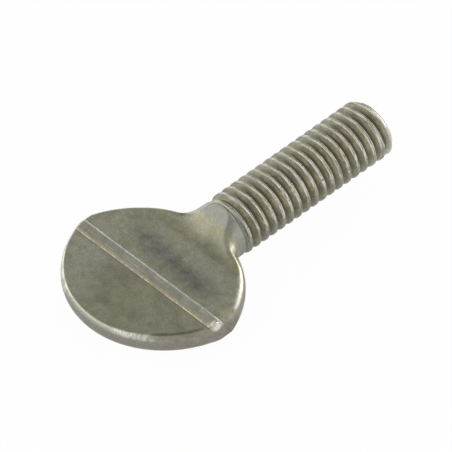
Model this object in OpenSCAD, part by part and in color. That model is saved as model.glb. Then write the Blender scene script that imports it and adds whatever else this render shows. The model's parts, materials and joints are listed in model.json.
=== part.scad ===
// Spade-head thumb screw, one cold-headed and thread-rolled piece of stainless steel.
// The screw is drawn along +X with the parting band of its paddle at x = 0,
// then laid down the way it comes to rest. All lengths are millimetres.

/* [Thread] */
// diameter over the thread crests
thread_d = 5.96; // [5.6:0.02:6.4]
// axial distance from crest to crest
thread_pitch = 1; // [0.8:0.05:1.25]
// radial height from root to crest
thread_depth = 0.56; // [0.4:0.02:0.62]
// axial width of the flat crest as a share of the pitch
crest_share = 0.24; // [0.16:0.02:0.3]
// axial width of the flat root as a share of the pitch
root_share = 0.14; // [0.1:0.02:0.2]
// length of the shank from the paddle's shoulder to the end face
shank_len = 19; // [14:0.5:30]
// size of the chamfer at the end of the thread
tip_chamfer = 0.46; // [0.2:0.02:0.6]
// flats used to draw one turn of the thread, so that one lies flat on the ground
turn_steps = 42; // [34:4:54]

/* [Paddle head] */
// width across the trimmed sides at the parting band
head_w = 19.4; // [16:0.1:23]
// distance from the parting band to the rounded end of the paddle
head_end = 7.33; // [6:0.1:9]
// how far the end arc falls short of the trimmed side at the band
end_short = 0.1; // [0:0.02:0.3]
// distance from the band back to the centre of the shank side arc
shoulder_back = 2; // [1:0.1:3]
// how far the shank side arc would pass the trimmed side at the band
shoulder_over = 0.22; // [0.1:0.02:0.5]
// thickness of the flat paddle
head_t = 1.9; // [1.5:0.1:2.5]
// radius of the bulged rim section
rim_r = 1.6; // [1.4:0.1:2.4]

/* [Parting band] */
// height of the band above each face
band_h = 0.14; // [0.06:0.02:0.24]
// band edge on the shank side
band_far = 0.5; // [0.3:0.05:0.8]
// band edge on the end side
band_near = 0.4; // [0.3:0.05:0.8]
// axial run of the sloped wall on the end side
band_slope = 0.3; // [0.1:0.05:0.5]
// axial run of the steep wall on the shank side
band_step = 0.06; // [0.04:0.01:0.2]

/* [Neck] */
// diameter of the round neck
neck_d = 5.7; // [5.3:0.05:6.2]
// radius of the fillet between neck and paddle, seen from above
neck_fillet = 1.2; // [0.8:0.1:1.6]
// distance from the paddle's shoulder to where the neck becomes fully round
neck_round = 0.78; // [0.6:0.02:1]
// radius of the flare that rounds the ramp's edges into the neck
flare = 2; // [1.6:0.1:2.4]
// slope of the ramp from paddle to neck in degrees
ramp_angle = 30; // [26:1:36]
// distance from the paddle's shoulder to where the ramp meets the top of the neck
ramp_top = 1.26; // [1.1:0.02:1.5]
// radius of the concave blend between face and ramp
ramp_blend = 4; // [2:0.5:6]
// distance from the paddle's shoulder to the end of the full round neck
neck_len = 1.18; // [1:0.02:1.5]
// axial run of the neck's end taper
neck_taper = 0.6; // [0.4:0.05:0.8]
// how far inside the round neck the thread groove starts
thread_lead = 0.577; // [0.5:0.01:0.7]

/* [Hidden] */
$fn = 64;
steel = [0.6, 0.59, 0.54];

half_t = head_t / 2;
half_w = head_w / 2;
neck_r = neck_d / 2;
crest_r = thread_d / 2;
root_r = crest_r - thread_depth;
flank = thread_pitch * (1 - crest_share - root_share) / 2;
root_w = thread_pitch * root_share;
crest_w = thread_pitch * crest_share;

// end arc: through the end of the paddle and just inside the trimmed sides at the band
end_half_w = half_w - end_short;
end_r = (head_end * head_end + end_half_w * end_half_w) / (2 * head_end);
end_c = end_r - head_end;

// shank side arc: just past the trimmed sides at the band, its top is the paddle's shoulder
shoulder_half_w = half_w + shoulder_over;
shoulder_r = sqrt(shoulder_back * shoulder_back + shoulder_half_w * shoulder_half_w);
shoulder_x = shoulder_r - shoulder_back;
rim_inset = rim_r - sqrt(rim_r * rim_r - half_t * half_t);

// places along the axis, all measured from the shoulder
neck_x = shoulder_x + neck_round;
ramp_top_x = shoulder_x + ramp_top;
neck_end_x = shoulder_x + neck_len;
tip_x = shoulder_x + shank_len;
tip_r = crest_r - tip_chamfer;

// thread run: the crest grows out of the neck over about half a turn
thread_x0 = neck_end_x - thread_lead;
base_back = 0.12;
base_r = root_r - 0.3;
turns = ceil((tip_x - thread_x0) / thread_pitch) + 1;
fade_x0 = thread_x0 - 0.1 * thread_pitch;
fade_x1 = thread_x0 + 0.45 * thread_pitch;
least_grow = 0.04;

// resting attitude: end of the paddle and first full crest under the shank touch the ground
edge_x = -head_end + rim_inset;
touch_x = thread_x0 + (0.75 - 0.5 / turn_steps) * thread_pitch + root_w + flank;
touch_r = crest_r * cos(180 / turn_steps);
tilt = atan((touch_r - half_t) / (touch_x - edge_x));
lift = half_t * cos(tilt) - edge_x * sin(tilt);
x_min = (rim_r - head_end) * cos(tilt) - rim_r;
x_max = tip_x * cos(tilt) + tip_r * sin(tilt);
shift = -(x_min + x_max) / 2;

// lap of pieces that are joined, and sizes of cutting shapes that clear the whole screw
lap = 0.01;
tall = 8;
reach = 2 * head_w;

// axial offset and radius of profile point j, with the crest growing in over the run-out
function grow(x) = min(1, max(least_grow, (x - fade_x0) / (fade_x1 - fade_x0)));
function row_x(i) = thread_x0 + thread_pitch * i / turn_steps;
function off(j) = j == 0 ? 0 : j == 1 ? root_w : j == 2 ? root_w + flank : root_w + flank + crest_w;
function rad(i, j) = j < 2 ? root_r : root_r + thread_depth * grow(row_x(i));
function spot(x, r, i) = [x, r * cos(360 * i / turn_steps), r * sin(360 * i / turn_steps)];

// point numbers: the base ring, the helical rows, then the end ring
rows = turn_steps * turns;
function at(i, j) = turn_steps + 4 * i + j;
function base(i) = i % turn_steps;
function cap(i) = turn_steps + 4 * (rows + 1) + i % turn_steps;

thread_points = concat(
    [for (i = [0 : turn_steps - 1]) spot(thread_x0 - base_back, base_r, i)],
    [for (i = [0 : rows]) for (j = [0 : 3]) spot(row_x(i) + off(j), rad(i, j), i)],
    [for (i = [0 : turn_steps - 1]) spot(row_x(rows) + thread_pitch, root_r, i)]
);

last = rows - turn_steps;
thread_faces = concat(
    // flat base and flat end
    [[for (i = [0 : turn_steps - 1]) base(i)]],
    [[for (i = [turn_steps - 1 : -1 : 0]) cap(i)]],
    // root, flank and crest strips
    [for (i = [0 : rows - 1]) for (j = [0 : 2]) [at(i, j), at(i, j + 1), at(i + 1, j + 1)]],
    [for (i = [0 : rows - 1]) for (j = [0 : 2]) [at(i, j), at(i + 1, j + 1), at(i + 1, j)]],
    // rear flank, joined to the next turn
    [for (i = [0 : last - 1]) [at(i, 3), at(i + turn_steps, 0), at(i + turn_steps + 1, 0)]],
    [for (i = [0 : last - 1]) [at(i, 3), at(i + turn_steps + 1, 0), at(i + 1, 3)]],
    // first turn down to the base ring
    [for (i = [0 : turn_steps - 2]) [base(i), at(i, 0), at(i + 1, 0)]],
    [for (i = [0 : turn_steps - 2]) [base(i), at(i + 1, 0), base(i + 1)]],
    [[at(turn_steps - 1, 0), base(0), base(turn_steps - 1)]],
    [[at(turn_steps - 1, 0), at(0, 0), base(0)]],
    [for (j = [0 : 2]) [at(turn_steps - 1, 0), at(0, j + 1), at(0, j)]],
    [[at(turn_steps - 1, 0), at(turn_steps, 0), at(0, 3)]],
    // last turn up to the end ring
    [for (k = [1 : turn_steps - 1]) [at(last + k, 3), cap(k), cap(k + 1)]],
    [for (k = [1 : turn_steps - 1]) [at(last + k, 3), cap(k + 1), at(last + k + 1, 3)]],
    [[at(last + 1, 3), cap(0), cap(1)]],
    [[at(last + 1, 3), at(rows, 3), cap(0)]],
    [for (j = [0 : 2]) [at(last + 1, 3), at(rows, j), at(rows, j + 1)]],
    [[at(last + 1, 3), at(last, 3), at(rows, 0)]]
);

// half of the side view: flat face, parting band, concave blend and ramp
module side_half() {
    blend_run = ramp_blend * tan(ramp_angle / 2);
    foot_x = ramp_top_x - (neck_r - half_t) / tan(ramp_angle);
    difference() {
        union() {
            translate([-reach, -half_t / 2])
                square([2 * reach, 1.5 * half_t]);
            polygon([
                [-band_near - band_slope, half_t - lap],
                [-band_near - band_slope, half_t],
                [-band_near, half_t + band_h],
                [band_far, half_t + band_h],
                [band_far + band_step, half_t],
                [band_far + band_step, half_t - lap]
            ]);
            polygon([
                [foot_x - blend_run, half_t - lap],
                [foot_x - blend_run, half_t],
                [foot_x + blend_run * cos(ramp_angle), half_t + blend_run * sin(ramp_angle)],
                [foot_x + tall / tan(ramp_angle), half_t + tall],
                [reach + tall, half_t + tall],
                [reach + tall, half_t - lap]
            ]);
        }
        translate([foot_x - blend_run, half_t + ramp_blend])
            circle(r = ramp_blend);
    }
}

// everything between the two faces and the two ramps
module between_faces() {
    rotate([90, 0, 0])
        translate([0, 0, -reach])
            linear_extrude(height = 2 * reach)
                union() {
                    side_half();
                    mirror([0, 1]) side_half();
                }
}

// disc with a bulged rim, centred on the screw axis at x
module rim_disc(x, r) {
    translate([x, 0, 0])
        rotate_extrude()
            intersection() {
                union() {
                    translate([0, -rim_r])
                        square([r - rim_r, 2 * rim_r]);
                    translate([r - rim_r, 0])
                        circle(r = rim_r);
                }
                translate([0, -rim_r])
                    square([r, 2 * rim_r]);
            }
}

// view from above inside the rim, with the neck and its two fillets
module neck_plan() {
    inner_r = shoulder_r - rim_inset;
    fillet_y = neck_r + neck_fillet - lap;
    fillet_x = sqrt(pow(inner_r + neck_fillet, 2) - fillet_y * fillet_y) - shoulder_back;
    share = inner_r / (inner_r + neck_fillet);
    root_x = share * (fillet_x + shoulder_back) - shoulder_back;
    intersection() {
        translate([end_c, 0]) circle(r = end_r - rim_inset);
        translate([-shoulder_back, 0]) circle(r = inner_r);
    }
    translate([0, -neck_r])
        square([neck_end_x + neck_taper, 2 * neck_r]);
    for (side = [-1, 1])
        difference() {
            polygon([
                [0, 0],
                [share * root_x, side * share * share * fillet_y],
                [root_x, side * share * fillet_y],
                [fillet_x, side * fillet_y],
                [fillet_x, 0]
            ]);
            translate([fillet_x, side * fillet_y])
                circle(r = neck_fillet);
        }
}

// outer limit of the neck: round, flaring towards the paddle, tapered at the thread
module neck_limit() {
    flare_r = neck_r + flare;
    flare_x = neck_x - flare;
    rotate([0, 90, 0])
        rotate_extrude()
            difference() {
                polygon([
                    [0, -tall],
                    [head_w, -tall],
                    [head_w, flare_x],
                    [flare_r, flare_x],
                    [flare_r, neck_x],
                    [neck_r, neck_x],
                    [neck_r, neck_end_x],
                    [neck_r - thread_depth, neck_end_x + neck_taper],
                    [0, neck_end_x + neck_taper]
                ]);
                translate([flare_r, neck_x])
                    circle(r = flare);
            }
}

// paddle and neck: both rims and the neck, kept between the faces and ramps
module paddle() {
    intersection() {
        between_faces();
        union() {
            intersection() {
                rim_disc(end_c, end_r);
                rim_disc(-shoulder_back, shoulder_r);
                translate([-reach, -head_w / 2, -tall])
                    cube([2 * reach, head_w, 2 * tall]);
            }
            intersection() {
                translate([0, 0, -tall])
                    linear_extrude(height = 2 * tall)
                        neck_plan();
                neck_limit();
            }
        }
    }
}

// helical thread, cut to a chamfered end
module thread() {
    cut = tip_chamfer + thread_depth;
    intersection() {
        polyhedron(points = thread_points, faces = thread_faces, convexity = 10);
        rotate([0, 90, 0])
            rotate_extrude()
                polygon([
                    [0, 0],
                    [tip_r + cut, 0],
                    [tip_r + cut, tip_x - cut],
                    [tip_r, tip_x],
                    [0, tip_x]
                ]);
    }
}

module thumb_screw() {
    color(steel)
        translate([shift, 0, lift])
            rotate([0, -tilt, 0])
                union() {
                    paddle();
                    thread();
                }
}

thumb_screw();
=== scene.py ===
"""Looks of a stainless spade-head thumb screw that lies on a pale studio floor.

Lengths are millimetres in the screw's own frame: x runs along the axis from the parting band to the
thread's end, y across the paddle and z off its upper face. Meshes are placed in the row frame, in
metres, when they are handed to Blender.
"""

import json
import logging
import math
from dataclasses import dataclass, field
from enum import Enum
from functools import reduce
from typing import NamedTuple

import bmesh
import bpy
import numpy as np
from mathutils import Matrix

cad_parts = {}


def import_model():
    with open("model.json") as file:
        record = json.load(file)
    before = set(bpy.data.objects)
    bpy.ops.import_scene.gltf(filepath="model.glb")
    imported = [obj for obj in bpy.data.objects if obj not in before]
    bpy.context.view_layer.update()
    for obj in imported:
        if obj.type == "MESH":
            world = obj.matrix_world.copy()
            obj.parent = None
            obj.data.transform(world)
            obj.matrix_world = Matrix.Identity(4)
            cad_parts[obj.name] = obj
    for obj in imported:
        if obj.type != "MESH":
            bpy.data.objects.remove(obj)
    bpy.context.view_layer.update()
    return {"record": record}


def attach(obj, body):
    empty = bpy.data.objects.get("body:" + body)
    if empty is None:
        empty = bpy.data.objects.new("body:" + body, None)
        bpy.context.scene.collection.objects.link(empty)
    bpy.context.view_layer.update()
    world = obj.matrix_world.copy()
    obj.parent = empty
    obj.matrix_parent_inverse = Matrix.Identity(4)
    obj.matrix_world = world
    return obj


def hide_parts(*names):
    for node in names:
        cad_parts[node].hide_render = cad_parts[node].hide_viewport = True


LOG = logging.getLogger("thumb_screw")
MM = 0.001
NODE = "thumb_screw"
BODY = "root"

Array = np.ndarray
Piece = bpy.types.Object
Vector = tuple[float, float, float]
Colour = tuple[float, float, float, float]
Span = tuple[float, float, float, float]
Socket = bpy.types.NodeSocket
Feed = Socket | float | Colour


def soft_min(a: Array, b: Array, blend: float | Array) -> Array:
    """Lower of two heights, rounded where they cross by a parabola as wide as blend.

    Args:
        a: First heights.
        b: Second heights.
        blend: Difference of heights over which the corner is rounded.

    Returns:
        The rounded lower heights.
    """
    share = np.clip(0.5 + 0.5 * (b - a) / blend, 0.0, 1.0)
    return b + (a - b) * share - blend * share * (1.0 - share)


def soft_max(a: Array, b: Array, blend: float) -> Array:
    """Higher of two heights, rounded in the same way as soft_min."""
    return -soft_min(-a, -b, blend)


def smooth_step(x: Array, low: float, high: float) -> Array:
    """Ease from 0 at low to 1 at high along a cubic with level ends."""
    t = np.clip((x - low) / (high - low), 0.0, 1.0)
    return t * t * (3.0 - 2.0 * t)


@dataclass(frozen=True)
class Placement:
    """Where the screw's own frame lies in the row frame."""

    origin: Array
    along: Array

    @classmethod
    def from_record(cls, record: dict, tip_x: float) -> "Placement":
        """Read the axis from the record's tip mount and step back from it to the parting band.

        Args:
            record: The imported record.
            tip_x: Distance in millimetres from the parting band to the thread's end face.

        Returns:
            The placement, in metres.
        """
        tip = next(mount for mount in record["mounts"] if mount["name"] == "tip")
        along = np.array(tip["axis"], float)
        along = along / np.linalg.norm(along)
        return cls(np.array(tip["pos_m"], float) - tip_x * MM * along, along)

    @property
    def tilt(self) -> float:
        """Angle in radians by which the axis rises from the ground."""
        return math.atan2(self.along[2], self.along[0])

    @property
    def axes(self) -> Array:
        """The screw's three axes in the row frame, one in each row."""
        across = np.array([0.0, 1.0, 0.0])
        return np.stack([self.along, across, np.cross(self.along, across)])

    def to_row(self, points: Array) -> Array:
        """Turn screw millimetres into row metres: a turn about y, then a shift."""
        return self.origin + MM * (points @ self.axes)


@dataclass
class Shell:
    """Grids of points that together close into one surface."""

    name: str
    weld: float = 2e-8
    grids: list[Array] = field(default_factory=list)

    def add(self, grid: Array) -> None:
        """Keep one grid of shape rows by columns by 3."""
        self.grids.append(grid)

    def cells(self) -> tuple[Array, Array]:
        """List the points of all grids, and one four-sided face for each grid cell.

        Returns:
            Points with three columns, and faces with four columns of point numbers.
        """
        points, faces, start = [], [], 0
        for grid in self.grids:
            rows, columns = grid.shape[:2]
            index = start + np.arange(rows * columns).reshape(rows, columns)
            corners = (index[:-1, :-1], index[:-1, 1:], index[1:, 1:], index[1:, :-1])
            faces.append(np.stack(corners, axis=-1).reshape(-1, 4))
            points.append(grid.reshape(-1, 3))
            start += rows * columns
        return np.concatenate(points), np.concatenate(faces)

    def to_object(self, placement: Placement) -> Piece:
        """Join the grids, weld shared edges and turn all faces outwards.

        Points that coincide on seams, shared edges and poles are merged, which closes the surface.

        Args:
            placement: Where the screw lies in the row frame.

        Returns:
            The new object, at the origin with its place in its mesh.
        """
        points, faces = self.cells()
        mesh = bpy.data.meshes.new(self.name)
        mesh.from_pydata(placement.to_row(points).tolist(), [], faces.tolist())
        work = bmesh.new()
        work.from_mesh(mesh)
        bmesh.ops.remove_doubles(work, verts=work.verts, dist=self.weld)
        bmesh.ops.recalc_face_normals(work, faces=work.faces)
        work.to_mesh(mesh)
        work.free()
        mesh.polygons.foreach_set("use_smooth", np.ones(len(mesh.polygons), bool))
        edges = np.empty(len(mesh.loops), np.int32)
        mesh.loops.foreach_get("edge_index", edges)
        open_edges = np.count_nonzero(np.bincount(edges, minlength=len(mesh.edges)) != 2)
        triangles = len(mesh.loops) - 2 * len(mesh.polygons)
        LOG.info("%s: %d triangles, %d open edges", self.name, triangles, open_edges)
        piece = bpy.data.objects.new(self.name, mesh)
        bpy.context.scene.collection.objects.link(piece)
        return piece


class Bump(NamedTuple):
    """Round bump of the flash: its middle, its height and its width."""

    x: float
    y: float
    height: float
    width: float


@dataclass(frozen=True)
class Paddle:
    """Flat head with bulged rim, parting band, ramp and round neck root."""

    width: float = 19.4
    end: float = 7.322
    end_short: float = 0.03
    shoulder_x: float = 8.1196
    shoulder_over: float = 0.45
    thickness: float = 1.9
    rim_radius: float = 1.6
    bulge_rise: float = 0.5
    edge_blend: float = 0.18
    edge_more: float = 0.32
    edge_sharper: float = 0.65
    sharper_x: tuple[float, float] = (6.0, 8.0)
    softer_from: tuple[float, float] = (0.6, 2.2)
    softer_until: tuple[float, float] = (5.5, 7.5)
    softer_side: tuple[float, float] = (0.5, 4.5)
    band_height: float = 0.14
    band_far: float = 0.5
    band_near: float = 0.4
    band_slope: float = 0.3
    band_step: float = 0.06
    band_round: float = 0.03
    crease_depth: float = 0.03
    crease_width: float = 0.06
    lip_height: float = 0.06
    lip_width: float = 0.075
    lip_inset: float = 0.02
    neck_radius: float = 2.85
    neck_fillet: float = 1.9
    neck_grow: float = 2.2
    ramp_angle: float = math.radians(30.0)
    ramp_top: float = 1.26
    ramp_blend: float = 4.0
    flash_fade: float = 0.2
    bumps: tuple[Bump, ...] = (
        Bump(-0.20, -9.38, 0.28, 0.40), Bump(0.30, -8.95, -0.16, 0.17), Bump(0.66, -8.85, 0.08, 0.13),
        Bump(0.72, -9.20, 0.07, 0.14), Bump(-0.75, -9.05, 0.05, 0.12), Bump(-0.95, -9.25, -0.05, 0.12))
    side_columns: int = 56
    side_ease: float = 0.85
    ring_columns: int = 72
    rim_rows: int = 14
    end_rows: int = 14
    face_rows: int = 32
    rim_reach: float = 0.75
    rim_longer: float = 1.25
    end_rim_most: float = 0.6
    shank_rim_most: float = 0.5

    @property
    def half_w(self) -> float:
        """Half of the width across the trimmed sides."""
        return self.width / 2

    @property
    def half_t(self) -> float:
        """Half of the paddle's thickness."""
        return self.thickness / 2

    @property
    def end_radius(self) -> float:
        """Radius of the arc round the paddle's end."""
        return (self.end**2 + (self.half_w - self.end_short) ** 2) / (2 * self.end)

    @property
    def end_centre(self) -> float:
        """Place on the axis of the end arc's centre."""
        return self.end_radius - self.end

    @property
    def shoulder_back(self) -> float:
        """How far behind the band the centre of the shank side arc lies."""
        return ((self.half_w + self.shoulder_over) ** 2 - self.shoulder_x**2) / (2 * self.shoulder_x)

    @property
    def shoulder_radius(self) -> float:
        """Radius of the arc on the shank side."""
        return self.shoulder_x + self.shoulder_back

    @property
    def fillet_centre(self) -> tuple[float, float]:
        """Centre in plan of the fillet between shank side arc and neck."""
        y = self.neck_radius + self.neck_fillet
        return math.sqrt((self.shoulder_radius + self.neck_fillet) ** 2 - y**2) - self.shoulder_back, y

    @property
    def ring_x(self) -> float:
        """Place on the axis where the fillet ends and the round neck takes over."""
        return self.fillet_centre[0]

    @property
    def band_foot(self) -> float:
        """Place on the axis where the band's sloped near wall starts."""
        return -self.band_near - self.band_slope

    def half_width(self, x: Array) -> Array:
        """Half width of the plan near the band: the least of end arc, trimmed side and shank side arc."""
        inside = np.minimum(self.end_radius**2 - (x - self.end_centre) ** 2,
                            self.shoulder_radius**2 - (x + self.shoulder_back) ** 2)
        return np.minimum(np.sqrt(np.maximum(inside, 0.0)), self.half_w)

    def edge_distance(self, x: Array, y: Array) -> Array:
        """Distance in plan from a point inside to the nearest outline.

        The outline is the end arc, the trimmed sides and, towards the shank, the arc, then the
        fillet within the wedge between its two tangent points, then the neck's side.

        Args:
            x: Places along the axis.
            y: Places across the paddle.

        Returns:
            The distances, zero on the outline.
        """
        y = np.abs(y)
        fx, fy = self.fillet_centre
        to_end = self.end_radius - np.hypot(x - self.end_centre, y)
        to_arc = self.shoulder_radius - np.hypot(x + self.shoulder_back, y)
        to_fillet = np.hypot(x - fx, y - fy) - self.neck_fillet
        in_wedge = (y * (fx + self.shoulder_back) < fy * (x + self.shoulder_back)) & (x < fx)
        to_shank = np.where(in_wedge, to_fillet, to_arc)
        to_shank = np.where(x >= fx, self.neck_radius - y, to_shank)
        nearest = np.minimum(np.where(x < self.end_centre, to_end, to_shank), to_shank)
        return np.maximum(np.minimum(nearest, self.half_w - y), 0.0)

    def band(self, x: Array) -> Array:
        """Height of the band: flat top, sloped near wall with a crease, steep far wall with a lip.

        The walls and the top are straight lines with rounded crossings. The crease and the lip are
        bell curves taken off and added.

        Args:
            x: Places along the axis.

        Returns:
            Heights over the face.
        """
        near = self.band_height * (x - self.band_foot) / self.band_slope
        far = self.band_height * (self.band_far + self.band_step - x) / self.band_step
        walls = soft_min(near, far, self.band_round)
        top = soft_min(walls, np.full_like(x, self.band_height), self.band_round)
        before = x - self.band_foot + self.crease_width
        crease = self.crease_depth * np.exp(-((before / self.crease_width) ** 2))
        lip = self.lip_height * np.exp(-(((x - self.band_far + self.lip_inset) / self.lip_width) ** 2))
        return soft_max(top, np.zeros_like(x), self.band_round) - crease + lip

    def ramp(self, x: Array) -> Array:
        """Height of the ramp over the face: level, then an arc, then a straight slope.

        Args:
            x: Places along the axis.

        Returns:
            Heights over the face.
        """
        rise = self.neck_radius - self.half_t
        foot = self.shoulder_x + self.ramp_top - rise / math.tan(self.ramp_angle)
        run = self.ramp_blend * math.tan(self.ramp_angle / 2)
        along = np.clip(x - foot + run, 0.0, self.ramp_blend * math.sin(self.ramp_angle))
        arc = self.ramp_blend - np.sqrt(self.ramp_blend**2 - along**2)
        slope = math.tan(self.ramp_angle) * np.maximum(x - foot - run * math.cos(self.ramp_angle), 0.0)
        return arc + slope

    def edge_round(self, x: Array, y: Array) -> Array:
        """Rounding between face and rim: larger round the shank side at -y, small at the neck.

        Args:
            x: Places along the axis.
            y: Places across the paddle.

        Returns:
            Differences of height over which the edge is rounded.
        """
        stretch = smooth_step(x, *self.softer_from) - smooth_step(x, *self.softer_until)
        crisp = 1.0 - self.edge_sharper * smooth_step(x, *self.sharper_x)
        return self.edge_blend * crisp + self.edge_more * stretch * smooth_step(-y, *self.softer_side)

    def height(self, x: Array, y: Array) -> Array:
        """Height of the upper surface over the plan.

        The surface leaves the outline as a circular bulge, whose radius grows from the rim's to the
        neck's, and the side view cuts it off with a rounded edge.

        Args:
            x: Places along the axis.
            y: Places across the paddle.

        Returns:
            Heights over the paddle's middle plane.
        """
        inside = self.edge_distance(x, y)
        grow = smooth_step(x, self.ring_x - self.neck_grow, self.ring_x)
        radius = self.rim_radius + (self.neck_radius - self.rim_radius) * grow
        capped = np.minimum(inside, radius)
        bulge = np.sqrt(2 * radius * capped - capped**2) + self.bulge_rise * (inside - capped)
        return soft_min(bulge, self.half_t + self.band(x) + self.ramp(x), self.edge_round(x, y))

    def flash(self, x: Array, y: Array) -> Array:
        """Squeezed-out metal at one end of the band on the upper face.

        A sum of round bumps, each a height times a bell curve of the distance from its middle: a lump
        on the rim, a pocket beside it, and a spur along the far edge. It fades out at the outline.

        Args:
            x: Places along the axis.
            y: Places across the paddle.

        Returns:
            Heights to add.
        """
        total = sum(bump.height * np.exp(-((x - bump.x) ** 2 + (y - bump.y) ** 2) / bump.width**2)
                    for bump in self.bumps)
        return total * smooth_step(self.edge_distance(x, y), 0.0, self.flash_fade)

    def band_lines(self) -> Array:
        """List the grid lines across the axis that follow the band's edges.

        Returns:
            Places along the axis, in rising order.
        """
        near = np.array([self.band_foot, -self.band_near])
        far = np.array([self.band_far, self.band_far + self.band_step])
        spread = np.array([-2.0, -1.0, 0.0, 1.0, 2.0]) * self.band_round
        outer = np.concatenate([near[0] - self.crease_width * np.array([2.0, 3.0, 5.0]),
                                far[1] + self.band_step * np.array([1.5, 3.5]),
                                np.linspace(-0.26, 0.36, 6)])
        lines = [(near[:, None] + 1.2 * spread).ravel(), (far[:, None] + 0.5 * spread).ravel(), outer]
        return np.unique(np.concatenate(lines).round(4))

    def outline_point(self, distance: Array, start_x: float) -> Array:
        """Point on the shank side outline at a distance along it.

        The way goes straight along the trimmed side, round the shank side arc and round the fillet
        to where the neck's side begins.

        Args:
            distance: Share of the whole way, from 0 to 1.
            start_x: Place on the axis where the way starts.

        Returns:
            Points in plan, with two columns.
        """
        fx, fy = self.fillet_centre
        corner_x = math.sqrt(self.shoulder_radius**2 - self.half_w**2) - self.shoulder_back
        first = math.atan2(self.half_w, corner_x + self.shoulder_back)
        last = math.atan2(fy, fx + self.shoulder_back)
        flat_len = corner_x - start_x
        arc_len = self.shoulder_radius * (first - last)
        fillet_len = self.neck_fillet * (math.pi / 2 - last)
        way = distance * (flat_len + arc_len + fillet_len)
        flat = np.clip(way, 0.0, flat_len)
        turn = first - np.clip(way - flat_len, 0.0, arc_len) / self.shoulder_radius
        swing = last + math.pi + np.clip(way - flat_len - arc_len, 0.0, fillet_len) / self.neck_fillet
        on_flat = np.stack([start_x + flat, np.full_like(way, self.half_w)], axis=-1)
        on_arc = np.stack([self.shoulder_radius * np.cos(turn) - self.shoulder_back,
                           self.shoulder_radius * np.sin(turn)], axis=-1)
        on_fillet = np.stack([fx + self.neck_fillet * np.cos(swing),
                              fy + self.neck_fillet * np.sin(swing)], axis=-1)
        past_flat = (way > flat_len)[:, None]
        past_arc = (way > flat_len + arc_len)[:, None]
        return np.where(past_arc, on_fillet, np.where(past_flat, on_arc, on_flat))

    def columns(self, edge: Array, inner: Array, reach: float, most: float, rows: int) -> Array:
        """Straight columns of points from the outline inwards, close together at the rim.

        Distances from the outline grow with the square of the row number over the rim, then evenly.

        Args:
            edge: Outer end of each column, with two columns of numbers.
            inner: Inner end of each column.
            reach: Width of the rim.
            most: Largest share of a column that the rim takes.
            rows: Number of rows inside the rim.

        Returns:
            Array of rows by columns by 2.
        """
        way = np.linalg.norm(inner - edge, axis=-1)
        rim = np.minimum(reach, most * way) / np.maximum(way, 1e-9)
        rim_share = np.linspace(0.0, 1.0, self.rim_rows + 1)[:, None] ** 2
        face_share = np.linspace(0.0, 1.0, rows + 1)[1:, None]
        along = np.concatenate([rim * rim_share, rim + (1.0 - rim) * face_share])
        return edge + (inner - edge) * along[..., None]

    def plan_grid(self) -> Array:
        """Grid lines over the plan, rows from the end's rim to the shank side outline.

        Columns are spread across the paddle, close together at the sides. Each runs along a ray of
        the end arc from the rim to the band, along the axis over the band, and then straight to its
        own point of the shank side outline or of the neck's ring.

        Returns:
            Array of rows by columns by 2.
        """
        share = np.linspace(0.0, 1.0, self.side_columns + 1)
        ease = self.side_ease * share**2 + (1.0 - self.side_ease) * share
        side = self.half_w + (self.neck_radius - self.half_w) * ease
        ring = self.neck_radius * np.cos(np.linspace(0.0, math.pi, self.ring_columns + 1))[1:-1]
        y = np.concatenate([side, ring, -side[::-1]])
        lines = self.band_lines()
        wide = self.half_width(lines)[:, None] * (y / self.half_w)
        over_band = np.stack(np.broadcast_arrays(lines[:, None], wide), axis=-1)
        centre = np.array([self.end_centre, 0.0])
        ray = over_band[0] - centre
        end = centre + self.end_radius * ray / np.linalg.norm(ray, axis=-1)[:, None]
        edge = self.outline_point(ease, lines[-1])
        neck = np.stack([np.full_like(ring, self.ring_x), ring], axis=-1)
        last = np.concatenate([edge, neck, edge[::-1] * np.array([1.0, -1.0])])
        end_half = self.columns(end, over_band[0], self.rim_reach, self.end_rim_most, self.end_rows)
        shank_half = self.columns(last, over_band[-1], self.rim_reach * self.rim_longer,
                                  self.shank_rim_most, self.face_rows)
        return np.concatenate([end_half, over_band[1:-1], shank_half[::-1]])

    def add_to(self, shell: Shell) -> None:
        """Add the upper and lower surface: the height over the plan grid, and its mirror image.

        Args:
            shell: Where the two grids are kept.
        """
        plan = self.plan_grid()
        x, y = plan[..., 0], plan[..., 1]
        z = self.height(x, y)
        z[0] = 0.0
        z[:, [0, -1]] = 0.0
        z[-1, : self.side_columns + 1] = 0.0
        z[-1, -self.side_columns - 1:] = 0.0
        shell.add(np.stack([x, y, z + self.flash(x, y)], axis=-1))
        shell.add(np.stack([x, y, -z], axis=-1))


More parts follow.
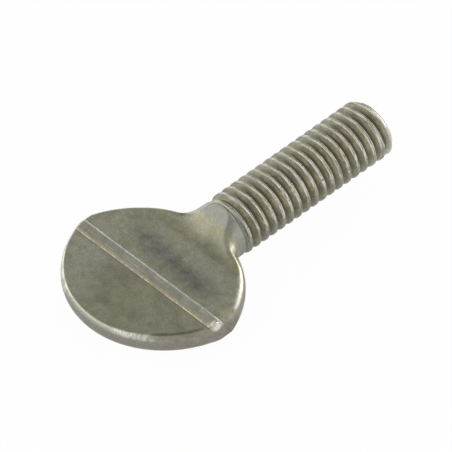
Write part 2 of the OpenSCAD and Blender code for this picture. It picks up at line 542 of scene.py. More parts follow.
@dataclass(frozen=True)
class Shank:
    """Round neck end, rolled thread and chamfered tip."""

    paddle: Paddle
    diameter: float = 5.96
    pitch: float = 1.0
    depth: float = 0.56
    crest_share: float = 0.24
    root_share: float = 0.14
    length: float = 19.0
    chamfer: float = 0.46
    neck_len: float = 0.96
    neck_taper: float = 1.5
    neck_round: float = 0.08
    first_valley: float = 8.7926
    start_low: float = -0.2
    start_high: float = 0.4
    crest_round: float = 0.07
    valley_round: float = 0.09
    seam_depth: float = 0.035
    seam_width: float = 0.06
    tip_round: float = 0.06
    tip_skew: float = 0.08
    tip_lean: float = 0.015
    tip_short: float = 0.036
    tip_turns: float = 3.0
    start_turn: float = 0.75
    ring_gap: float = 0.02
    tip_band: float = 0.03
    neck_rows: int = 14
    cap_rows: int = 10

    @property
    def tip_x(self) -> float:
        """Place on the axis of the end face."""
        return self.paddle.shoulder_x + self.length

    @property
    def face_x(self) -> float:
        """Place on the axis where the finished end face crosses it."""
        return self.tip_x - self.tip_short

    @property
    def crest_radius(self) -> float:
        """Radius over the crests."""
        return self.diameter / 2

    @property
    def root_radius(self) -> float:
        """Radius in the valleys."""
        return self.crest_radius - self.depth

    @property
    def flank_share(self) -> float:
        """Share of the pitch that one flank takes."""
        return (1.0 - self.crest_share - self.root_share) / 2

    @property
    def neck_end(self) -> float:
        """Place on the axis where the full round neck ends."""
        return self.paddle.shoulder_x + self.neck_len

    @property
    def strip_start(self) -> float:
        """Place on the axis where the helical strip starts, in step with the valleys.

        Returns:
            The first such place past the paddle's ring.
        """
        first = self.first_valley + self.pitch * self.start_turn
        steps = math.floor((first - self.paddle.ring_x - self.ring_gap) / self.pitch)
        return first - steps * self.pitch

    def profile(self, phase: Array) -> Array:
        """Height over the root along one pitch: valley, flank, crest with a seam, flank, valley.

        Args:
            phase: Share of the pitch, from 0 in the middle of a valley to 1 in the middle of the next.

        Returns:
            Heights in millimetres.
        """
        away = np.abs(phase - 0.5)
        wall = self.depth * (self.crest_share / 2 + self.flank_share - away) / self.flank_share
        top = soft_min(wall, np.full_like(phase, self.depth), self.crest_round)
        seam = self.seam_depth * np.exp(-((away / self.seam_width) ** 2))
        return soft_max(top, np.zeros_like(phase), self.valley_round) - seam

    def phase_lines(self) -> Array:
        """List the strip's grid lines along one pitch, close together at crest and valley.

        Returns:
            Shares of the pitch, in rising order.
        """
        edge = self.crest_share / 2
        away = np.concatenate([edge * np.array([0.0, 0.25, 0.5, 0.75, 0.92]),
                               edge + self.flank_share * np.array([0.03, 0.12, 0.4, 0.75]),
                               [0.5 - self.root_share / 2, 0.5]])
        return np.concatenate([0.5 - away[::-1], 0.5 + away[1:]])

    def radius(self, x: Array, turn: Array) -> Array:
        """Radius of the shank at a place on the axis and a turn about it.

        The neck tapers off at its end, the thread grows out of it over half a turn, and a cone cuts
        both off at the tip.

        Args:
            x: Places along the axis.
            turn: Angles about the axis as shares of a turn, from +y towards +z.

        Returns:
            Radii in millimetres.
        """
        neck_fall = np.maximum(x - self.neck_end, 0.0) / self.neck_taper * self.depth
        neck = self.paddle.neck_radius - np.minimum(neck_fall, 2 * self.depth)
        steps = (x - self.first_valley) / self.pitch - turn
        phase = steps - np.floor(steps)
        turn_start = x - phase * self.pitch
        grow = smooth_step(turn_start, self.first_valley + self.start_low * self.pitch,
                           self.first_valley + self.start_high * self.pitch)
        thread = self.root_radius + self.profile(phase) * grow
        cone = self.crest_radius - self.chamfer + np.maximum(self.tip_x - x, 0.0)
        return soft_min(soft_max(neck, thread, self.neck_round), cone, self.tip_round)

    def surface(self, x: Array, turn: Array) -> Array:
        """Points of the shank: the radius about the axis, with the ramps cut off above and below.

        The last turns are sheared along the axis, so that the end face leans a little.

        Args:
            x: Places along the axis.
            turn: Angles about the axis as shares of a turn.

        Returns:
            Points with three columns.
        """
        x, turn = np.broadcast_arrays(x, turn)
        radius = self.radius(x, turn)
        angle = 2 * math.pi * turn
        y = radius * np.cos(angle)
        z = radius * np.sin(angle)
        limit = self.paddle.half_t + self.paddle.ramp(x)
        z = np.sign(z) * soft_min(np.abs(z), limit, self.paddle.edge_round(x, y))
        near_tip = smooth_step(x, self.tip_x - self.tip_turns * self.pitch, self.tip_x)
        back = near_tip * (self.tip_skew * y - self.tip_lean * z + self.tip_short)
        return np.stack([x - back, y, z], axis=-1)

    def add_to(self, shell: Shell) -> None:
        """Add the neck ring, the helical strip and the end face.

        The strip is a grid over the turn and the share of the pitch. Its first turn widens from the
        neck's ring and its last narrows to the tip's ring, so that both ends are level.

        Args:
            shell: Where the grids are kept.
        """
        around = 2 * self.paddle.ring_columns
        turn = np.linspace(0.0, 1.0, around + 1)[None, :]
        start = self.strip_start
        neck_x = np.linspace(self.paddle.ring_x, start, self.neck_rows)[:, None]
        shell.add(self.surface(neck_x, turn))

        stop = self.tip_x - self.tip_band
        turns = (stop - start) / self.pitch + 1.0
        steps = np.arange(math.ceil(turns * around) + 1)[:, None] / around
        low = np.clip(start + self.pitch * (steps - 1.0), start, stop)
        high = np.clip(start + self.pitch * steps, start, stop)
        x = low + (high - low) * self.phase_lines()[None, :]
        shell.add(self.surface(x, steps + self.start_turn))

        tip = self.surface(np.array([[stop], [self.tip_x]]), turn)
        shell.add(tip)
        share = np.concatenate([[1.0, 0.992, 0.98], np.linspace(0.95, 0.0, self.cap_rows)])[:, None, None]
        middle = np.array([self.face_x, 0.0, 0.0])
        shell.add(middle + (tip[1:] - middle) * share)


class Blend(Enum):
    """How two colours are laid over each other."""

    MIX = "MIX"
    DARKEN = "MULTIPLY"


@dataclass
class NodeBoard:
    """Short ways to add shader nodes to one material or world, and named values for its masks."""

    owner: bpy.types.Material | bpy.types.World
    values: dict[str, Socket] = field(default_factory=dict)
    made: dict["Mask", Feed] = field(default_factory=dict)

    @property
    def tree(self) -> bpy.types.NodeTree:
        """The owner's node tree."""
        return self.owner.node_tree

    def node(self, kind: str, **settings: str) -> bpy.types.Node:
        """Add a node and set its own properties.

        Args:
            kind: Blender's name of the node type.
            **settings: Property names and values.

        Returns:
            The new node.
        """
        made = self.tree.nodes.new(kind)
        for name, value in settings.items():
            setattr(made, name, value)
        return made

    def feed(self, socket: Socket, value: Feed) -> None:
        """Set a socket to a number or colour, or link another socket to it.

        Args:
            socket: The input.
            value: A number, a colour, or an output to link.
        """
        if isinstance(value, Socket):
            self.tree.links.new(value, socket)
        else:
            socket.default_value = value

    def filled(self, made: bpy.types.Node, *ordered: Feed, **named: Feed) -> bpy.types.Node:
        """Feed a node's inputs in their order, or by name with _ for each space.

        Args:
            made: The node.
            *ordered: What its first inputs are fed.
            **named: Input names and what they are fed.

        Returns:
            The same node.
        """
        sockets = [*made.inputs[:len(ordered)], *(made.inputs[name.replace("_", " ")] for name in named)]
        for socket, value in zip(sockets, (*ordered, *named.values())):
            self.feed(socket, value)
        return made

    def maths(self, operation: str, first: Feed, second: Feed = 0.0) -> Socket:
        """Add a math node and return its result."""
        return self.filled(self.node("ShaderNodeMath", operation=operation), first, second).outputs[0]

    def both(self, *values: Feed) -> Feed:
        """Multiply values, so that a product of masks holds where all of them do."""
        return reduce(lambda first, second: self.maths("MULTIPLY", first, second), values)

    def length(self, first: Feed, second: Feed) -> Socket:
        """Length of the long side of a right triangle."""
        return self.maths("SQRT", self.maths("ADD", self.both(first, first), self.both(second, second)))

    def ease(self, value: Feed, low: float, high: float, start: float = 0.0, stop: float = 1.0) -> Socket:
        """Map a value from low..high to start..stop along a smooth curve."""
        made = self.node("ShaderNodeMapRange", interpolation_type="SMOOTHSTEP")
        return self.filled(made, value, low, high, start, stop).outputs[0]

    def noise(self, grain: "Grain") -> Socket:
        """Add a noise texture.

        Args:
            grain: The kind of noise.

        Returns:
            Its value.
        """
        vector = self.values[grain.vector]
        if grain.squeeze is not None:
            mapping = self.node("ShaderNodeMapping")
            vector = self.filled(mapping, Vector=vector, Scale=grain.squeeze).outputs[0]
        made = self.filled(self.node("ShaderNodeTexNoise"), Vector=vector, Scale=grain.scale,
                           Detail=grain.detail, Roughness=grain.rough)
        return made.outputs["Fac"]

    def mask(self, mask: "Mask") -> Feed:
        """Nodes of a mask, which are made once however often it is used.

        Args:
            mask: The mask.

        Returns:
            Its value.
        """
        if mask not in self.made:
            self.made[mask] = mask.on(self)
        return self.made[mask]

    def lay(self, mode: Blend, share: Feed, under: Feed, over: Feed) -> Socket:
        """Lay one colour over another.

        Args:
            mode: How they are blended.
            share: How far the upper one shows.
            under: Lower colour.
            over: Upper colour.

        Returns:
            The blended colour.
        """
        made = self.node("ShaderNodeMix", data_type="RGBA", blend_type=mode.value)
        for index, value in ((0, share), (6, under), (7, over)):
            self.feed(made.inputs[index], value)
        return made.outputs[2]

    def marked(self, colour: Feed, marks: list["Mark"]) -> Feed:
        """Lay marks over a colour, one after the other.

        Args:
            colour: Colour below them.
            marks: The marks, lowest first.

        Returns:
            The marked colour.
        """
        for mark in marks:
            colour = self.lay(Blend.MIX, self.mask(All(mark.masks, mark.share)), colour, mark.colour)
        return colour

    def toward(self, vector: Socket, way: Vector) -> Socket:
        """Cosine of the angle between a direction and a unit vector."""
        made = self.node("ShaderNodeVectorMath", operation="DOT_PRODUCT")
        return self.filled(made, vector, way).outputs["Value"]


@dataclass(frozen=True)
class Mask:
    """Share of a mark all over the screw, made from a board's named values."""

    def on(self, board: NodeBoard) -> Feed:
        """Add the mask's nodes to a board."""
        raise NotImplementedError


@dataclass(frozen=True)
class Ease(Mask):
    """One value, mapped from low..high to start..stop."""

    value: str
    low: float
    high: float
    start: float = 0.0
    stop: float = 1.0

    def on(self, board: NodeBoard) -> Feed:
        """Map the value."""
        return board.ease(board.values[self.value], self.low, self.high, self.start, self.stop)


@dataclass(frozen=True)
class Near(Mask):
    """Distance of one value from a middle, mapped from low..high to start..stop."""

    value: str
    middle: float
    low: float
    high: float
    start: float = 1.0
    stop: float = 0.0

    def on(self, board: NodeBoard) -> Feed:
        """Map the distance."""
        away = board.maths("ABSOLUTE", board.maths("SUBTRACT", board.values[self.value], self.middle))
        return board.ease(away, self.low, self.high, self.start, self.stop)


@dataclass(frozen=True)
class Grain(Mask):
    """Noise mapped from low..high to start..stop, squeezed along the axes of the vector it follows."""

    scale: float
    detail: float
    rough: float
    low: float = 0.0
    high: float = 1.0
    start: float = 0.0
    stop: float = 1.0
    squeeze: Vector | None = None
    vector: str = "place"

    def on(self, board: NodeBoard) -> Feed:
        """Map the noise."""
        return board.ease(board.noise(self), self.low, self.high, self.start, self.stop)


@dataclass(frozen=True)
class All(Mask):
    """Product of masks, times a share."""

    masks: tuple[Mask, ...]
    share: float = 1.0

    def on(self, board: NodeBoard) -> Feed:
        """Multiply the masks."""
        shares = () if self.share == 1.0 else (self.share,)
        return board.both(*(board.mask(each) for each in self.masks), *shares)


@dataclass(frozen=True)
class Either(Mask):
    """The stronger of two masks."""

    first: Mask
    second: Mask

    def on(self, board: NodeBoard) -> Feed:
        """Take the stronger one."""
        return board.maths("MAXIMUM", board.mask(self.first), board.mask(self.second))


@dataclass(frozen=True)
class Outside(Mask):
    """What a mask leaves free."""

    inner: Mask

    def on(self, board: NodeBoard) -> Feed:
        """Take the mask from 1."""
        return board.maths("SUBTRACT", 1.0, board.mask(self.inner))


class Mark(NamedTuple):
    """A colour that shows where all masks hold, and how far."""

    colour: Feed
    masks: tuple[Mask, ...]
    share: float = 1.0


@dataclass(frozen=True)
class SatinSteel:
    """Cold-formed stainless steel: satin faces, a duller rim, stains, scuffs, a dirty thread, and painted
    highlights and shade.
    """

    steel: Colour = (0.443, 0.438, 0.324, 1.0)
    pale: Colour = (0.502, 0.494, 0.372, 1.0)
    dull: Colour = (0.398, 0.393, 0.290, 1.0)
    # Dark colour for faint patches and a streak on the face, and a painted dark reflection by the rim.
    dark_tone_and_painted_reflection: Colour = (0.165, 0.167, 0.132, 1.0)
    rim: Colour = (0.370, 0.352, 0.304, 1.0)
    tan: Colour = (0.385, 0.335, 0.245, 1.0)
    sheen: Colour = (0.820, 0.740, 0.530, 1.0)
    # Painted shade for the crease at the foot of the band's near wall.
    crease: Colour = (0.190, 0.170, 0.125, 1.0)
    band: Colour = (0.530, 0.535, 0.455, 1.0)
    neck: Colour = (0.375, 0.382, 0.338, 1.0)
    # Bright steel for scuffs and streaks, and for painted highlights on rim, lip, lump and thread crests.
    bright: Colour = (0.880, 0.870, 0.780, 1.0)
    # Light steel for wear on the rim's edge and the tip; on the rim it is partly a painted highlight.
    worn: Colour = (0.680, 0.672, 0.590, 1.0)
    brown: Colour = (0.260, 0.228, 0.170, 1.0)
    olive: Colour = (0.460, 0.445, 0.285, 1.0)
    valley: Colour = (0.185, 0.167, 0.110, 1.0)
    flank: Colour = (0.770, 0.745, 0.580, 1.0)
    crest: Colour = (0.430, 0.424, 0.345, 1.0)
    # Dark soil in gaps along the crests; on the thread's sides away from turn 0.365 it is painted shade.
    soil: Colour = (0.250, 0.245, 0.185, 1.0)
    rust: Colour = (0.150, 0.095, 0.065, 1.0)
    grain: Grain = Grain(5.0, 5.0, 0.7, 0.32, 0.68, 0.84, 1.10)
    satin: Grain = Grain(1.3, 3.0, 0.6, 0.3, 0.7, 0.28, 0.42)
    matt: Mask = All((Near("x", 1.5, 0.7, 1.4), Ease("y", -8.9, -8.1, 1.0, 0.0)))
    matt_more: float = 0.3
    bump: Grain = Grain(6.0, 5.0, 0.62)
    bump_strength: float = 0.3
    bump_distance: float = 0.00003
    lump: Vector = (-0.20, -9.42, 1.0)
    lines_a_pitch: float = 13.0
    lines_slant: float = 0.4
    streak_wander: Grain = Grain(1.0, 3.0, 0.55, squeeze=(0.3, 0.5, 0.0))
    streak_wave: float = 1.6
    streak_line: Ease = Ease("y", -6.0, 5.0, 2.2, 2.8)

    def build(self, placement: Placement, shank: Shank) -> bpy.types.Material:
        """Make the material.

        Args:
            placement: Where the screw lies, so that patterns follow its axis.
            shank: The shank and its paddle, for the places where the finish changes.

        Returns:
            The new material.
        """
        material = bpy.data.materials.new("satin_steel")
        material.use_nodes = True
        board = NodeBoard(material)
        self.name_places(board, placement)
        self.name_distances(board, shank)
        skin = [Mark(self.pale, (Grain(0.45, 4.0, 0.6, 0.32, 0.68),)),
                Mark(self.olive, (Grain(0.9, 3.0, 0.6, 0.40, 0.62, 0.0, 0.9, (1.0, 1.0, 0.0)),))]
        paddle = shank.paddle
        colour = board.marked(self.steel, skin + self.face_marks(paddle) + self.band_marks(paddle))
        end_face = Ease("lean_x", shank.face_x - 0.03, shank.face_x - 0.01)
        colour = board.marked(colour, [
            Mark(self.thread(board, shank), (Ease("x", shank.neck_end + 0.2, shank.neck_end + 0.9),)),
            Mark(self.dull, (end_face,))])
        grain = board.mask(self.grain)
        grey = board.filled(board.node("ShaderNodeCombineColor"), grain, grain, grain)
        bump = board.filled(board.node("ShaderNodeBump"), Strength=self.bump_strength,
                            Distance=self.bump_distance, Height=board.noise(self.bump))
        board.filled(board.tree.nodes["Principled BSDF"], Metallic=1.0, Normal=bump.outputs["Normal"],
                     Base_Color=board.lay(Blend.DARKEN, 1.0, colour, grey.outputs[0]),
                     Roughness=self.roughness(board, shank, end_face))
        return material

    def name_places(self, board: NodeBoard, placement: Placement) -> None:
        """Name the screw's own coordinates in millimetres, turned and scaled from object coordinates.

        Args:
            board: Where the names are kept.
            placement: Where the screw lies.
        """
        place = board.filled(board.node("ShaderNodeMapping"), Scale=(1 / MM,) * 3,
                             Vector=board.node("ShaderNodeTexCoord").outputs["Object"],
                             Rotation=(0.0, placement.tilt, 0.0),
                             Location=tuple(-(placement.axes @ placement.origin) / MM)).outputs[0]
        x, y, z = board.filled(board.node("ShaderNodeSeparateXYZ"), Vector=place).outputs
        board.values.update(place=place, x=x, y=y, z=z)

    def name_distances(self, board: NodeBoard, shank: Shank) -> None:
        """Name what the masks measure by besides the coordinates.

        high is the distance from the paddle's middle plane, reach from the end arc's centre, lump from
        the flash lump, off_streak from the dark streak's wandering line and across from the axis. turn and
        phase are shares of a turn and of a pitch, and off_crest is how far phase is from mid-crest.
        wound follows the helix, and lean_x leans as the end face does.

        Args:
            board: Where the names are kept.
            shank: The shank and its paddle.
        """
        x, y, z, place = (board.values[name] for name in ("x", "y", "z", "place"))
        turn = board.both(board.maths("ARCTAN2", z, y), 0.5 / math.pi)
        along = board.maths("DIVIDE", board.maths("SUBTRACT", x, shank.first_valley), shank.pitch)
        phase = board.maths("FRACT", board.maths("SUBTRACT", along, turn))
        lump = board.filled(board.node("ShaderNodeVectorMath", operation="DISTANCE"), place, self.lump)
        slanted = board.maths("ADD", y, board.both(x, self.lines_slant))
        wound = board.node("ShaderNodeCombineXYZ")
        board.filled(wound, board.both(phase, self.lines_a_pitch), slanted, z)
        lean = board.maths("SUBTRACT", board.both(y, shank.tip_skew), board.both(z, shank.tip_lean))
        drift = board.maths("SUBTRACT", x, board.mask(self.streak_line))
        wander = board.maths("SUBTRACT", board.noise(self.streak_wander), 0.5)
        board.values.update(
            turn=turn, phase=phase, lump=lump.outputs["Value"], wound=wound.outputs[0],
            high=board.maths("ABSOLUTE", z), across=board.length(y, z), lean_x=board.maths("ADD", x, lean),
            reach=board.length(board.maths("SUBTRACT", x, shank.paddle.end_centre), y),
            off_streak=board.maths("ADD", drift, board.both(wander, self.streak_wave)),
            off_crest=board.maths("ABSOLUTE", board.maths("SUBTRACT", phase, 0.5)))

    def face_marks(self, paddle: Paddle) -> list[Mark]:
        """List the marks of face, neck and rim.

        The end half is duller, the upper face has a dark streak and faint dark patches, and the neck is
        greyer. The rim is dull with soil on it; its edge line is partly wear and partly painted highlight,
        and its left side and a strip just below the face have a painted highlight.

        Args:
            paddle: The paddle, for the band's place and its thickness.

        Returns:
            The marks, lowest first.
        """
        cloud = Grain(1.0, 3.0, 0.55, 0.25, 0.60, 0.45, 0.95, (1.1, 0.6, 0.0))
        faint = Grain(1.0, 2.0, 0.5, 0.4, 0.7, 0.0, 0.35, (0.5, 0.25, 0.0))
        streak = All((Near("off_streak", 0.0, 0.0, 2.0), Near("y", -0.8, 4.0, 7.2), cloud))
        end_half = Ease("x", -paddle.band_near - 0.3, -paddle.band_near - 0.2, 1.0, 0.0)
        face = [Mark(self.dull, (end_half,), 0.5),
                # A darker streak across the shank-side face, and faint darker patches over the upper face.
                Mark(self.dark_tone_and_painted_reflection, (Either(streak, faint), Ease("z", -0.1, 0.3))),
                Mark(self.neck, (Ease("x", 7.4, 8.4, 0.0, 0.75),))]

        head = Ease("x", 5.5, 8.2, 1.0, 0.0)
        rim = All((Ease("high", 0.50, paddle.half_t - 0.08, 1.0, 0.0), head))
        soil = Grain(1.1, 6.0, 0.7, 0.36, 0.74, 0.0, 0.75)
        highlight_share = Grain(1.1, 4.0, 0.65, 0.36, 0.56, 0.35, 1.0)
        front = All((Ease("x", -1.2, 0.2, 1.0, 0.0), Ease("y", 0.0, 3.5, 1.0, 0.0)), 0.85)
        # Where the painted highlight on the rim's edge is strongest: towards the shank and on the +y side.
        highlight_sides = Either(Ease("x", 0.5, 2.5, 0.5, 1.0), Ease("y", 3.0, 5.5, 0.5, 1.0))
        line = (Near("high", paddle.half_t - 0.09, 0.05, 0.11), head, highlight_share)
        left = (Near("high", 0.55, 0.20, 0.45), Ease("x", -1.5, 0.5, 1.0, 0.0), Ease("y", 2.5, 5.5))
        below = (Near("high", 0.68, 0.10, 0.28), Ease("x", -2.0, -0.8, 1.0, 0.0), Near("y", 0.0, 5.0, 6.5))
        return face + [
            Mark(self.rim, (rim,)),
            Mark(self.brown, (rim, soil, Ease("y", -8.2, -6.0, 1.0, 0.3))),
            # Light line on the rim's edge: partly edge wear, partly painted highlight, left out at the
            # front.
            Mark(self.worn, (*line, Outside(front), Outside(self.matt), highlight_sides)),
            # Painted highlight on the left side of the rim.
            Mark(self.bright, (*left, highlight_share), 0.9),
            # Painted highlight on the rim just below the face, round the end.
            Mark(self.worn, below, 0.3)]

    def band_marks(self, paddle: Paddle) -> list[Mark]:
        """List the marks of the band, and the scuffs.

        The band has a streaked top, a tan near wall with painted shade in the crease at its foot and a
        sheen, and a painted highlight on its far lip. The rim's upper edge has scuffs, a painted highlight
        on the lump of flash and a painted dark reflection in a strip just inside the end's rim.

        Args:
            paddle: The paddle, for the band's edges and the arc of its end.

        Returns:
            The marks, lowest first.
        """
        face = Ease("high", paddle.half_t - 0.10, paddle.half_t - 0.02)
        across_band = (9.0, 0.35, 0.0)
        worn = Grain(1.0, 3.0, 0.6, 0.3, 0.7, 0.45, 1.0, across_band)
        drawn = Grain(1.0, 3.0, 0.6, 0.54, 0.66, 0.0, 0.5, across_band)
        ragged = Grain(3.0, 3.0, 0.6, 0.35, 0.6, 0.35, 1.0)
        shine = Grain(1.0, 4.0, 0.7, 0.42, 0.60, 0.05, 0.85, (0.5, 0.9, 0.0))
        lip_highlight_breaks = Grain(1.0, 4.0, 0.7, 0.36, 0.62, 0.50, 1.0, (0.5, 1.1, 0.0))
        half = (paddle.band_far + paddle.band_near) / 2
        top = Near("x", (paddle.band_far - paddle.band_near) / 2, half - 0.06, half - 0.01)
        wall = Near("x", paddle.band_foot + paddle.band_slope / 2, 0.07, 0.14)
        crease = Near("x", paddle.band_foot - paddle.crease_width - 0.03, 0.03, 0.17)
        band = [Mark(self.band, (top, face, worn)),
                Mark(self.bright, (top, face, drawn)),
                Mark(self.tan, (wall, face, ragged)),
                # Painted shade in the crease at the foot of the near wall.
                Mark(self.crease, (crease, face, worn), 0.7),
                Mark(self.sheen, (Near("x", paddle.band_foot + 0.03, 0.02, 0.05), face, shine)),
                # Painted highlight on the band's far lip, broken up by noise.
                Mark(self.bright, (Near("x", paddle.band_far - 0.04, 0.045, 0.075), face, lip_highlight_breaks))]

        upper = All((Ease("z", 0.3, 0.5), Ease("x", -1.2, -0.9, 1.0, 0.0)))
        nicks = Grain(1.0, 3.0, 0.6, 0.40, 0.66, 0.25, 1.0, (3.0, 7.0, 0.8))
        outer = Near("reach", paddle.end_radius - 0.24, 0.10, 0.26)
        inner = Near("reach", paddle.end_radius - 0.50, 0.10, 0.24)
        return band + [
            Mark(self.bright, (upper, outer, Near("y", -4.5, 1.1, 2.3), nicks), 0.85),
            # Painted highlight on the lump of flash.
            Mark(self.bright, (Ease("lump", 0.22, 0.60, 0.9, 0.0),)),
            # Painted dark reflection on the face just inside the end's rim, towards -y.
            Mark(self.dark_tone_and_painted_reflection, (upper, inner, Near("y", -7.3, 1.0, 1.8)), 0.7)]

    def thread(self, board: NodeBoard, shank: Shank) -> Feed:
        """Colour of the thread: dirty valleys, crests with a seam, and painted highlight and shade by turn.

        Args:
            board: Where the nodes go.
            shank: The shank, for the radii and the crests' width.

        Returns:
            The colour.
        """
        root, crest = shank.root_radius, shank.crest_radius
        streak = Grain(1.0, 4.0, 0.65, 0.34, 0.66, 0.55, 1.0, (5.0, 1.4, 1.4))
        warm = Grain(1.0, 4.0, 0.65, 0.44, 0.62, 0.0, 0.55, (0.6, 0.9, 0.9))
        dirt = board.marked(self.valley, [Mark(self.flank, (streak,)), Mark(self.tan, (warm,))])
        on_crest = Ease("across", crest - 0.24, crest - 0.10)
        # Share of the painted highlight on the crests: full near turn 0.42, low elsewhere.
        highlight_share = Near("turn", 0.42, 0.04, 0.12, 1.0, 0.15)
        ridge = Near("off_crest", shank.crest_share / 2, 0.020, 0.042)
        broken = Grain(0.7, 4.0, 0.6, 0.36, 0.58, 0.15, 1.0)
        drawn = Grain(1.0, 3.0, 0.6, 0.50, 0.60, vector="wound")
        gaps = Grain(1.0, 3.0, 0.6, 0.40, 0.48, 1.0, 0.0, vector="wound")
        specks = Grain(1.9, 2.0, 0.5, 0.70, 0.735)
        tip = (Ease("x", shank.tip_x - 0.75, shank.tip_x - 0.45), Ease("across", root + 0.02, root + 0.2))
        return board.marked(self.valley, [
            Mark(dirt, (Ease("across", root, root + 0.17),)),
            Mark(self.crest, (on_crest,), 0.8),
            Mark(dirt, (Near("phase", 0.5, 0.02, 0.07),), 0.5),
            # Painted shade: darker on all turns more than 0.15 from turn 0.365, clear near it.
            Mark(self.soil, (Near("turn", 0.365, 0.07, 0.15, 0.0, 0.55),)),
            # Painted highlights on the crests' edges and along them, on the side near turn 0.42.
            Mark(self.bright, (ridge, broken, highlight_share)),
            Mark(self.bright, (drawn, on_crest, highlight_share)),
            Mark(self.soil, (gaps, on_crest), 0.7),
            Mark(self.rust, (specks, Ease("across", crest - 0.16, crest - 0.08))),
            Mark(self.worn, tip, 0.85)])

    def roughness(self, board: NodeBoard, shank: Shank, end_face: Mask) -> Socket:
        """Roughness that rises from the crests into the valleys of the thread, and satin elsewhere.

        Args:
            board: Where the nodes go.
            shank: The shank, for the thread's start and radius.
            end_face: Mask of the end face, which is satin.

        Returns:
            The roughness.
        """
        begin = Ease("x", shank.neck_end + 0.3, shank.neck_end + 1.0)
        rough = Ease("across", shank.crest_radius - 0.30, shank.crest_radius - 0.06, 0.55, 0.20)
        satin = board.maths("ADD", board.mask(self.satin), board.both(board.mask(self.matt), self.matt_more))
        share = board.maths("SUBTRACT", board.mask(begin), board.mask(end_face))
        mix = board.node("ShaderNodeMix", data_type="FLOAT")
        for index, value in ((0, share), (2, satin), (3, board.mask(rough))):
            board.feed(mix.inputs[index], value)
        return mix.outputs[0]


@dataclass(frozen=True)
class ThumbScrew:
    """The whole screw as one piece: paddle, neck and thread in one mesh, with its steel."""

    placement: Placement
    shank: Shank
    steel: SatinSteel = SatinSteel()
    name: str = "thumb_screw_steel"

    def build(self) -> Piece:
        """Make the closed mesh of paddle and shank.

        Returns:
            The new object.
        """
        shell = Shell(self.name)
        self.shank.paddle.add_to(shell)
        self.shank.add_to(shell)
        return shell.to_object(self.placement)

    def dress(self, piece: Piece) -> None:
        """Give the piece its steel, and tie it to the node and body that it stands for.

        Args:
            piece: The mesh that build made.
        """
        piece.data.materials.append(self.steel.build(self.placement, self.shank))
        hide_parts(NODE)
        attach(piece, BODY)


class Glow(NamedTuple):
    """Soft light from one side: where from, and how it eases with the angle and with height."""

    way: Vector
    spread: Span
    fade: Span | None = None


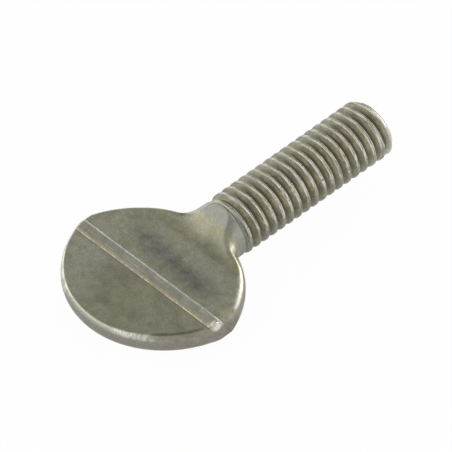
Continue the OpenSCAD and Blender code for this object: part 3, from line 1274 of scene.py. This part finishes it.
@dataclass(frozen=True)
class Studio:
    """Pale floor, soft surroundings and the camera."""

    floor_half: float = 6.0
    floor_colour: Colour = (0.95, 0.95, 0.95, 1.0)
    floor_roughness: float = 0.9
    floor_share: float = 0.97
    mirror_share: float = 0.35
    room_light: float = 0.55
    glows: tuple[Glow, ...] = (
        Glow((-0.7473, 0.6645, 0.0), (0.35, 0.95, 0.0, 0.95), (0.40, 0.85, 1.0, 0.45)),
        Glow((0.667, 0.745, 0.0), (0.35, 0.85, 0.0, 1.0), (0.15, 0.55, 1.0, 0.0)),
        Glow((0.955, 0.19, 0.20), (0.80, 0.96, 0.0, 2.5)),
        Glow((0.505, -0.834, 0.221), (0.82, 0.97, 0.0, 0.45)))
    dim: Glow = Glow((0.337, 0.564, 0.754), (0.70, 0.95, 1.0, 0.70))
    lens: float = 1000.0
    sensor: float = 36.0
    clip_end: float = 100.0
    pixels: int = 452
    pixels_per_metre: float = 11140.0
    aim: Vector = (-0.002670, -0.002150, 0.005570)
    toward: Vector = (-0.5054, -0.5642, 0.6529)
    roll: float = 0.0058

    def add_floor(self) -> None:
        """Add the floor as one square."""
        half = self.floor_half
        corners = [(-half, -half, 0), (half, -half, 0), (half, half, 0), (-half, half, 0)]
        mesh = bpy.data.meshes.new("floor")
        mesh.from_pydata(corners, [], [(0, 1, 2, 3)])
        mesh.materials.append(self.floor_material())
        floor = bpy.data.objects.new("floor", mesh)
        bpy.context.scene.collection.objects.link(floor)

    def floor_material(self) -> bpy.types.Material:
        """Make a floor that is white to the eye, paler in reflections, and keeps a soft shadow.

        Returns:
            The new material.
        """
        material = bpy.data.materials.new("floor_white")
        material.use_nodes = True
        board = NodeBoard(material)
        shader = board.tree.nodes["Principled BSDF"]
        board.filled(shader, Base_Color=self.floor_colour, Roughness=self.floor_roughness)
        path = board.node("ShaderNodeLightPath").outputs
        mirrored = board.both(path["Is Glossy Ray"], self.mirror_share)
        seen = board.maths("MAXIMUM", path["Is Camera Ray"], mirrored)
        seen = board.maths("MAXIMUM", seen, path["Is Transmission Ray"])
        glow = board.node("ShaderNodeEmission")
        mix = board.filled(board.node("ShaderNodeMixShader"), board.both(seen, self.floor_share),
                           shader.outputs[0], glow.outputs[0])
        board.feed(board.tree.nodes["Material Output"].inputs["Surface"], mix.outputs[0])
        return material

    def add_surroundings(self) -> None:
        """Light the room: even all round, brighter where the glows are, and dimmer high at the back."""
        world = bpy.data.worlds.new("studio")
        bpy.context.scene.world = world
        world.use_nodes = True
        board = NodeBoard(world)
        place = board.node("ShaderNodeTexCoord").outputs["Generated"]
        up = board.toward(place, (0.0, 0.0, 1.0))
        light = self.room_light
        for glow in self.glows:
            shine = board.ease(board.toward(place, glow.way), *glow.spread)
            if glow.fade is not None:
                shine = board.both(shine, board.ease(up, *glow.fade))
            light = board.maths("ADD", shine, light)
        light = board.both(light, board.ease(board.toward(place, self.dim.way), *self.dim.spread))
        board.filled(board.tree.nodes["Background"], Color=(1.0, 1.0, 1.0, 1.0), Strength=light)

    def add_camera(self) -> None:
        """Add the camera at the photo's angle, far off with a long lens."""
        data = bpy.data.cameras.new("camera")
        data.lens = self.lens
        data.sensor_width = self.sensor
        data.clip_end = self.clip_end
        camera = bpy.data.objects.new("camera", data)
        bpy.context.scene.collection.objects.link(camera)
        away = np.array(self.toward) / np.linalg.norm(self.toward)
        distance = self.lens / self.sensor * self.pixels / self.pixels_per_metre
        camera.location = tuple(np.array(self.aim) + distance * away)
        right = np.cross([0.0, 0.0, 1.0], away)
        right = right / np.linalg.norm(right)
        rolled = math.cos(self.roll) * right + math.sin(self.roll) * np.cross(away, right)
        turn = np.stack([rolled, np.cross(away, rolled), away], axis=1)
        camera.rotation_mode = "QUATERNION"
        camera.rotation_quaternion = Matrix(turn.tolist()).to_quaternion()
        bpy.context.scene.camera = camera

    def build(self) -> None:
        """Add everything round the object and set the view."""
        self.add_floor()
        self.add_surroundings()
        self.add_camera()
        bpy.context.scene.view_settings.view_transform = "Standard"


def main() -> None:
    """Load the frame, build the screw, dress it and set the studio."""
    logging.basicConfig(level=logging.INFO, format="%(name)s %(message)s")
    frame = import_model()
    shank = Shank(Paddle())
    screw = ThumbScrew(Placement.from_record(frame["record"], shank.tip_x), shank)
    screw.dress(screw.build())
    Studio().build()


if __name__ == "__main__":
    main()
